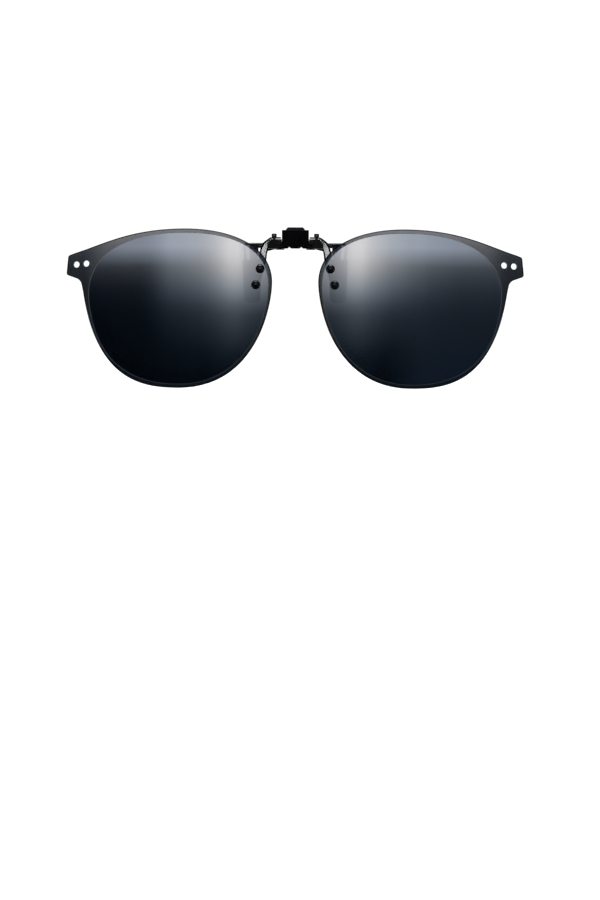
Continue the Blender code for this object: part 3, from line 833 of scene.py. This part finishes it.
def arm_section(middle, across, normal, half, edge=0.5):
    """A flat strip's section with broken edges."""
    thick, bevel, corner = ARM_THICK / 2, min(edge, half * 0.45), 0.12
    points = [
        (-half + bevel, -thick), (half - bevel, -thick), (half, -thick + corner), (half, thick - corner),
        (half - bevel, thick), (-half + bevel, thick), (-half, thick - corner), (-half, -thick + corner),
    ]
    return [middle + across * a + normal * b for a, b in points]


def behind_lens(along):
    """The arm's middle, its way across and its normal, on the line down through the rivets."""
    (x1, z1), (x2, z2) = RIVETS
    run = Vector((x2 - x1, z2 - z1)).normalized()
    x, z = x1 + run.x * along, z1 + run.y * along
    normal = lens_normal(x, z)
    across = Vector((run.x, 0, run.y)).cross(normal).normalized()
    across = across if across.x > 0 else -across
    return Vector((x, lens_y(x, z), z)) + normal * (LENS_THICK + GAP + ARM_THICK / 2), across, normal


def arm_bend():
    """The twisted part: from flat on the wing block to upright behind the lens."""
    flat, up = Vector((0, -1, 0)), Vector((0, 0, 1))
    end, end_across, end_normal = behind_lens(ARM_ABOVE)
    start = Vector((7.2, 0, ARM_TOP_Z))
    pull, push = start + Vector((1.7, 0, 0)), end + Vector((-0.1, 0.25, 2.9))
    for t in np.linspace(0, 1, 25)[:-1]:
        s = 1 - t
        middle = start * s**3 + pull * 3 * s**2 * t + push * 3 * s * t * t + end * t**3
        slope = ((pull - start) * s**2 + (push - pull) * 2 * s * t + (end - push) * t * t).normalized()
        turn = min(t / ARM_TWISTED, 1)
        across = flat.lerp(end_across, turn * turn * (3 - 2 * turn))
        across = (across - slope * across.dot(slope)).normalized()
        normal = slope.cross(across).normalized()
        normal = normal if normal.dot(up.lerp(end_normal, t)) > 0 else -normal
        yield arm_section(middle, across, normal, ARM_WIDTH / 2, edge=0.5 + 0.35 * max(0, 1 - 2.5 * t))


def lens_arm():
    half = ARM_WIDTH / 2
    flat, up = Vector((0, -1, 0)), Vector((0, 0, 1))
    tip = ((4.5, half - 0.25), (4.58, half - 0.1), (4.75, half), (6.0, half), (6.9, half))
    rings = [arm_section(Vector((x, 0, ARM_TOP_Z)), flat, up, wide) for x, wide in tip]
    rings += arm_bend()
    rings += [arm_section(*behind_lens(along), half) for along in np.linspace(ARM_ABOVE, ARM_BELOW, 12)]
    for a in (0.25, 0.5, 0.75, 1.0, 1.25, 1.42):
        rings.append(arm_section(*behind_lens(ARM_BELOW + math.sin(a) * half), half * math.cos(a)))
    arm = loft(rings)
    for _ in range(2):
        arm.materials.append(None)
    # the underside, which the twist turns to the front, takes the light grey painted reflection; the last two
    # faces are the ends
    sides = len(arm.polygons) - 2
    painted_reflection_faces = [int(k % ARM_SECTION_SIDES == 0 and k < sides) for k in range(len(arm.polygons))]
    arm.polygons.foreach_set("material_index", painted_reflection_faces)
    screw_hole = pin(SCREW_HOLE_R, 0, 4, (SCREW_X, 0, 0), (0, 0, 1))
    rivet_holes = [pin(RIVET_HOLE_R, 0, 4, (x, lens_y(x, z), z), lens_normal(x, z)) for x, z in RIVETS]
    return cut(arm, screw_hole, *rivet_holes)


pair("lens_arm", "flip_frame", lens_arm(), [arm_black, arm_painted_reflection], "black_nickel", sharp=30)


# ---- arm screws -------------------------------------------------------------------------------
def arm_screw():
    """A slotted cheese-head screw through the arm and the knuckle's wing."""
    head = SCREW_HEAD_R
    profile = [
        (0, -0.9), (SCREW_R, -0.9), (SCREW_R, SCREW_HEAD_LOW), (head - 0.06, SCREW_HEAD_LOW),
        (head, SCREW_HEAD_LOW + 0.06), (head, SCREW_TOP - 0.2), (head - 0.04, SCREW_TOP - 0.1),
        (head - 0.16, SCREW_TOP - 0.04), (0, SCREW_TOP),
    ]
    slot = block((SCREW_X - 1, SCREW_X + 1), (-0.11, 0.11), (SCREW_TOP - 0.35, SCREW_TOP + 0.3))
    return cut(turned(profile, (SCREW_X, 0, 0), (0, 0, 1), 36), slot)


pair("arm_screw", "flip_frame", arm_screw(), [nickel], "black_nickel")


# ---- flip hinge -------------------------------------------------------------------------------
def flip_knuckle():
    """A disc on the end of the axle, with the wing block that the arm is screwed to."""
    disc = [(KNUCKLE_R - 0.06, KNUCKLE_IN), (KNUCKLE_R, KNUCKLE_IN + 0.06), (KNUCKLE_R, KNUCKLE_OUT)]
    knuckle = turned([(0, KNUCKLE_IN), *disc, (0, KNUCKLE_OUT)], (0, 0, 0), (1, 0, 0), 48)
    side = [
        (WING_IN, WING_LOW + 0.2), (WING_IN + 0.2, WING_LOW), (WING_OUT - 0.3, WING_LOW),
        (WING_OUT, WING_LOW + 0.3), (WING_OUT, -0.3), (7.6, WING_TOP), (WING_IN, WING_TOP),
    ]
    wing = prism(side, -WING_DEPTH / 2, WING_DEPTH / 2, "Y")
    top = block((3, 9), (-3, 3), (WING_TOP, 4))
    back_corner = prism([(6.8, 1.7), (9.2, 1.7), (9.2, -0.7)], -3, 3, "Z")
    axle_hole = rod(AXLE_HOLE_R, 3.0, 5.75, 0, 0)
    screw_hole = pin(SCREW_HOLE_R, -1.2, 3, (SCREW_X, 0, 0), (0, 0, 1))
    return cut(join(wing, knuckle), top, back_corner, axle_hole, screw_hole)


def hinge_cover():
    """A folded cover, open behind and below, with two notches in its front's lower edge."""
    inside_x, low, high = COVER_X - 0.6, COVER_LOW - 1, COVER_HIGH - COVER_WALL
    shell = block((-COVER_X, COVER_X), (COVER_FRONT, COVER_BACK), (COVER_LOW, COVER_HIGH))
    inside = block((-inside_x, inside_x), (COVER_FRONT + COVER_WALL, COVER_BACK + 1), (low, high))
    axle_hole = rod(AXLE_HOLE_R, -5, 5, 0, 0)
    notches = []
    for x in (-1.85, 1.85):
        notches.append(prism([(x - 0.7, -1.84), (x + 0.7, -1.84), (x, -0.87)], -3, 0.5, "Y"))
    return cut(shell, inside, axle_hole, *notches)


pair("flip_knuckle", "flip_frame", flip_knuckle(), [black], "black_plate", bevel=0.06)
piece("hinge_cover", "clip_base", hinge_cover(), [cover_black], "black_plate", bevel=0.42, segments=4)


# ---- bridge body ------------------------------------------------------------------------------
def bridge_body():
    """The block under the cover, the bar that holds the wires, and the ears of the clamp axle."""
    hook = [(-1.4, 2.85), (1.9, 2.85), (1.9, -0.87), (4.2, -0.87), (4.2, 3.5), (-1.4, 3.5)]
    plug = prism(hook, -3.35, 3.35, "X")
    half = [(-BAR_X, 0.8), (-BAR_X, -0.9), (-5.8, -1.75), (-3.7, -1.75), (-3.1, -0.87)]
    bar = prism(symmetric(half), *BAR_Y, "Y")
    turns = np.linspace(-math.pi / 2, math.pi / 2, 17)
    nose = [(CLAMP_Y + EAR_R * math.cos(a), CLAMP_Z + EAR_R * math.sin(a)) for a in turns]
    ear = [(4.6, CLAMP_Z - 0.9), *nose, (4.6, CLAMP_Z + 0.9)]
    ears = [prism(ear, *sorted((s * EAR_X[0], s * EAR_X[1])), "X") for s in (-1, 1)]
    sockets = []
    for s in (-1, 1):
        for z in (0.0, LOOP_HIGH):
            ends = [(s * (BAR_X - 1.6), WIRE_Y, z), (s * (BAR_X + 1), WIRE_Y, z)]
            sockets.append(tube(ends, WIRE_R + 0.1))
    return cut(join(plug, bar, *ears), rod(AXLE_R + 0.1, -6, 6, CLAMP_Y, CLAMP_Z), *sockets)


piece("bridge_body", "clip_base", bridge_body(), [black], "black_plate", bevel=0.1)


# ---- front jaw --------------------------------------------------------------------------------
def hairpin():
    """The wire's path: out of the bar, down, and back up beside itself."""
    end = BAR_X - 1.4
    corners = [
        (end, 0.0, 0), (LOOP_OUT, 0.0, 1.0), (LOOP_OUT - 0.3, LOOP_LOW, 1.9), (LOOP_IN + 0.3, LOOP_LOW, 1.9),
        (LOOP_IN, -3.4, 1.4), (9.0, LOOP_HIGH, 1.6), (end, LOOP_HIGH, 0),
    ]
    return bent([(x, WIRE_Y, z, radius) for x, z, radius in corners], WIRE_BEND)


def front_pad():
    """A rubber pad moulded round the wire, with ribs across the face that grips."""
    face = rounded([(11.0, -18.4, 1.6), (16.0, -18.4, 1.6), (16.5, -4.9, 0.7), (10.5, -4.9, 0.7)])
    top, bottom = FRONT_PAD_Y[1] + 0.05, FRONT_PAD_Y[1] - 0.25
    grooves = []
    for z in np.arange(-6.4, -17.3, -0.95):
        groove = [(top, z + 0.3), (bottom, z + 0.08), (bottom, z - 0.08), (top, z - 0.3)]
        grooves.append(prism(groove, 9, 18, "X"))
    return cut(prism(face, *FRONT_PAD_Y, "Y"), tube(hairpin(), WIRE_R + 0.06), *grooves)


pair("front_wire", "clip_base", tube(hairpin(), WIRE_R, 24), [nickel], "black_nickel")
pair("front_pad", "clip_base", front_pad(), [rubber], "black_rubber", bevel=0.14)


# ---- clamp axle and springs -------------------------------------------------------------------
def coil():
    """A torsion spring's path: a leg up, the turns outwards along X, and a leg forwards."""
    mean_r, pitch, x, turns, per_turn = 0.83, 0.34, 1.62, 2.75, 40
    front = CLAMP_Y - mean_r
    path = [Vector((x, front, CLAMP_Z + 1.35)), Vector((x, front, CLAMP_Z + 0.7))]
    for k in range(int(turns * per_turn) + 1):
        a = math.radians(180 - 360 * k / per_turn)
        across, up = mean_r * math.cos(a), mean_r * math.sin(a)
        path.append(Vector((x + pitch * k / per_turn, CLAMP_Y + across, CLAMP_Z + up)))
    return path + [path[-1] + Vector((0, -0.7, 0)), path[-1] + Vector((0, -1.45, 0))]


piece("clamp_axle", "clip_base", rod(AXLE_R, -AXLE_X, AXLE_X, CLAMP_Y, CLAMP_Z), [steel], "steel")
pair("clamp_spring", "clip_base", tube(coil(), 0.14, 12), [steel], "steel")


# ---- rear jaw ---------------------------------------------------------------------------------
def press_lever():
    """The tab that is pressed, its barrel on the clamp axle, and the wall that carries the blades."""
    foot = [(-3.05, 1.9, 0.3), (3.05, 1.9, 0.3)]
    head = [(3.05, 4.6, 0.3), (2.4, 5.35, 0.4), (-2.4, 5.35, 0.4), (-3.05, 4.6, 0.3)]
    tab = prism(rounded(foot + head), *TAB_Y, "Y")
    neck = block((-1.4, 1.4), (TAB_Y[0] + 0.05, TAB_Y[1] - 0.05), (CLAMP_Z + 0.5, 2.3))
    barrel = rod(BARREL_R, -BARREL_X, BARREL_X, CLAMP_Y, CLAMP_Z, 48)
    saddle = block((-1.35, 1.35), (CLAMP_Y + 0.3, 8.4), (CLAMP_Z - 0.75, CLAMP_Z + 0.45))
    half = [(-7.6, 0.15), (-7.6, -0.9), (-6.0, -1.7), (-3.6, -1.7), (-3.0, -0.95)]
    wall = prism(symmetric(half), *WALL_Y, "Y")
    bars, ends, slots = [], [], []
    for s in (-1, 1):
        bars.append(block((s * 6.4, s * 12.5), (7.55, 8.35), (-1.15, -0.15)))
        ends.append(block((s * 11.6, s * 14.5), (6.0, 8.45), (-2.4, 0.1)))
        slot_x = s * (BLADE_X - 1.35), s * (BLADE_X + 1.35)
        slots.append(block(slot_x, (BLADE_Y[0] - 0.05, BLADE_Y[1] + 0.05), (-3, -1.0)))
    axle_hole = rod(AXLE_R + 0.1, -6, 6, CLAMP_Y, CLAMP_Z)
    return cut(join(wall, *bars, tab, neck, barrel, saddle, *ends), axle_hole, *slots)


def blade(top, low, y, z_top, z_low, radius):
    """A flat tongue, top and low wide at its ends, with a rounded foot."""
    feet = [(BLADE_X - low / 2, z_low, radius), (BLADE_X + low / 2, z_low, radius)]
    return prism(rounded([*feet, (BLADE_X + top / 2, z_top, 0), (BLADE_X - top / 2, z_top, 0)]), *y, "Y")


def rear_pad():
    """A soft sleeve over the blade's foot, open at the top."""
    inside_y = BLADE_Y[0] - 0.1, BLADE_Y[1] + 0.1
    inside = blade(2.7, 1.9, inside_y, -1.2, -16.4, 0.5)
    return cut(blade(3.7, 2.9, REAR_PAD_Y, -5.3, -17.2, 0.9), inside)


piece("press_lever", "rear_jaw", press_lever(), [lever_painted_light], "black_plate", bevel=0.13)
pair("rear_blade", "rear_jaw", blade(2.5, 1.7, BLADE_Y, -1.2, -16.2, 0.5), [steel], "steel", bevel=0.06)
pair("rear_pad", "rear_jaw", rear_pad(), [sleeve_look], "smoke_rubber", bevel=0.4, segments=4)

# ---- the two hidden pieces that keep their CAD shape ------------------------------------------
for node in ("flip_axle", "detent_spring"):
    for material_slot in frame["nodes"][node].material_slots:
        material_slot.material = steel.mat

# ---- stage, in metres -------------------------------------------------------------------------
FLOOR_HALF, FLOOR_GAP = 6.0, 0.0006
PANEL_HALF_X, PANEL_HALF_Z, PANEL_Y = 1.6, 1.5, -0.95
LAMP_STRENGTH, STRIP_STRENGTH, HAZE = 2.7, 0.95, 0.028
LAMP_BY_HEIGHT = (
    (-0.30, 0.001), (-0.21, 0.004), (-0.15, 0.012), (-0.12, 0.025), (-0.09, 0.041), (-0.06, 0.062),
    (-0.03, 0.09), (0.0, 0.158), (0.03, 0.285), (0.06, 0.45), (0.09, 0.62), (0.12, 0.80), (0.15, 0.96),
    (0.18, 1.0), (0.30, 1.0), (0.5, 0.5), (0.7, 0.1),
)
LAMP_ACROSS = (
    (-0.60, 0.01), (-0.317, 0.026), (-0.286, 0.031), (-0.255, 0.058), (-0.225, 0.125), (-0.195, 0.21),
    (-0.165, 0.25), (-0.105, 0.36), (-0.076, 0.48), (-0.046, 0.68), (-0.012, 0.96), (0.012, 0.98),
    (0.046, 0.70), (0.076, 0.52), (0.105, 0.38), (0.165, 0.22), (0.225, 0.125), (0.317, 0.07), (0.60, 0.05),
)
LAMP_TINT_BY_HEIGHT = (
    (-0.30, (0.43, 0.9, 1.8)), (-0.10, (0.68, 0.95, 1.35)), (0.03, (0.80, 0.96, 1.18)),
    (0.12, (0.93, 0.965, 1.03)), (0.3, (0.97, 0.965, 0.99)),
)
LAMP_TINT_ASIDE = (
    (0.0, (1.07, 1.01, 0.93)), (0.06, (1.03, 1.0, 0.97)), (0.14, (0.97, 1.0, 1.03)), (0.3, (0.92, 1.0, 1.1)),
)
STRIP_BY_HEIGHT = (
    (0.05, 0.0), (0.09, 0.04), (0.12, 0.12), (0.15, 0.5), (0.18, 1.0), (0.30, 1.0), (0.5, 0.6), (0.8, 0.3),
)
STRIP_ASIDE = ((0.0, 0.3), (0.1, 0.7), (0.2, 1.0), (0.33, 0.95), (0.42, 0.75), (0.7, 0.5))
STRIP_TINT = (0.84, 0.96, 1.16, 1)


def plane(name, corners, look):
    """A four-cornered face of the stage."""
    mesh = bpy.data.meshes.new(name)
    mesh.from_pydata(corners, [], [(0, 1, 2, 3)])
    mesh.materials.append(look.mat)
    obj = bpy.data.objects.new(name, mesh)
    bpy.context.scene.collection.objects.link(obj)
    obj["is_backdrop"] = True
    return obj


def reflector(name, corners, glow):
    """A glowing plane that only reflections see."""
    obj = plane(name, corners, glow)
    obj.visible_camera = False
    obj.visible_diffuse = False
    obj.visible_shadow = False
    obj.visible_transmission = False


def floor():
    """A pale floor, left out of reflections."""
    half, z = FLOOR_HALF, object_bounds()[0].z - FLOOR_GAP
    look = Look("floor", (0.93, 0.93, 0.93), 0.9, Specular_IOR_Level=0.0)
    look.mottle(look.noise(60, 2), 0.92, 0.95)
    obj = plane("floor", [(-half, -half, z), (half, -half, z), (half, half, z), (-half, half, z)], look)
    obj.visible_glossy = False


def lamp_light(glow, x, z, aside):
    """A lamp over the camera that fades downwards, brightest in the middle, in a faint haze."""
    level = glow.combine("MULTIPLY", glow.graded(z, LAMP_BY_HEIGHT), glow.graded(x, LAMP_ACROSS))
    level = glow.combine("MULTIPLY", level, LAMP_STRENGTH)
    haze = glow.graded(x, ((0.1, 0.0), (0.2, HAZE), (0.6, HAZE)))
    tints = glow.graded(z, LAMP_TINT_BY_HEIGHT), glow.graded(aside, LAMP_TINT_ASIDE)
    return glow.emission(glow.combine("ADD", level, haze), glow.vector("MULTIPLY", *tints)["Vector"])


def strip_light(glow, z, aside):
    """A wide strip high up, weaker in the middle."""
    level = glow.combine("MULTIPLY", glow.graded(z, STRIP_BY_HEIGHT), glow.graded(aside, STRIP_ASIDE))
    return glow.emission(glow.combine("MULTIPLY", level, STRIP_STRENGTH), STRIP_TINT)


def panel():
    """The graded panel in front of the lenses, which their faces mirror."""
    glow = Glow("panel")
    x, z = glow.axis("X"), glow.axis("Z")
    aside = glow.combine("ABSOLUTE", x)
    both = glow.node("AddShader", {0: lamp_light(glow, x, z, aside), 1: strip_light(glow, z, aside)})
    glow.show(both.outputs[0])
    places = ((-1, -1), (1, -1), (1, 1), (-1, 1))
    reflector("panel", [(a * PANEL_HALF_X, PANEL_Y, b * PANEL_HALF_Z) for a, b in places], glow)


def card(name, corners, strength):
    """A white card with soft edges."""
    low, high = (Vector(f(c[k] for c in corners) for k in range(3)) for f in (min, max))
    squeeze = [2 / side if side > 1e-6 else 0.0 for side in high - low]
    glow = Glow(name)
    from_middle = glow.vector("SUBTRACT", glow.coord, (low + high) / 2)["Vector"]
    away = glow.vector("LENGTH", glow.vector("MULTIPLY", from_middle, squeeze)["Vector"])["Value"]
    glow.show(glow.emission(glow.to_range(away, 0.45, 1.05, strength, 0.0, smooth=True)))
    reflector(name, corners, glow)


def cards():
    """One behind the wearer, one overhead, and one low on each side."""
    card("behind", [(-2.2, 1.3, -2.0), (2.2, 1.3, -2.0), (2.2, 1.3, 2.2), (-2.2, 1.3, 2.2)], 1.0)
    card("above", [(-0.8, -0.3, 1.4), (0.8, -0.3, 1.4), (0.8, 0.9, 1.4), (-0.8, 0.9, 1.4)], 2.0)
    for s in (-1, 1):
        near, far = s * 0.7, s * 0.9
        corners = [(near, -0.35, -0.65), (near, 0.5, -0.65), (far, 0.5, 0.05), (far, -0.35, 0.05)]
        card("low_side", corners, 2.0)


def studio():
    """An even white surround, left out of reflections, and a soft lamp overhead."""
    world = bpy.data.worlds.new("studio")
    world.use_nodes = True
    world.node_tree.nodes["Background"].inputs["Color"].default_value = (1, 1, 1, 1)
    world.node_tree.nodes["Background"].inputs["Strength"].default_value = 1.1
    world.cycles_visibility.glossy = False
    bpy.context.scene.world = world
    light = bpy.data.lights.new("overhead", "AREA")
    light.shape = "RECTANGLE"
    light.size, light.size_y = 0.9, 0.6
    light.energy = 14.0
    lamp = bpy.data.objects.new("overhead", light)
    lamp.location = (0.05, -0.15, 1.1)
    bpy.context.scene.collection.objects.link(lamp)


def camera():
    """In front of the lenses and a little below the hinge, with a long lens."""
    data = bpy.data.cameras.new("camera")
    data.lens, data.sensor_width = 100.0, 36.0
    data.clip_start = 0.01
    data.shift_x, data.shift_y = 0.0055, -0.1571
    eye = bpy.data.objects.new("camera", data)
    eye.location = FLIP + Vector((0, -0.7795, -0.0202))
    eye.rotation_euler = (math.radians(90), math.radians(-0.27), 0)
    bpy.context.scene.collection.objects.link(eye)
    bpy.context.scene.camera = eye
    bpy.context.scene.view_settings.view_transform = "Standard"


floor()
panel()
cards()
studio()
camera()
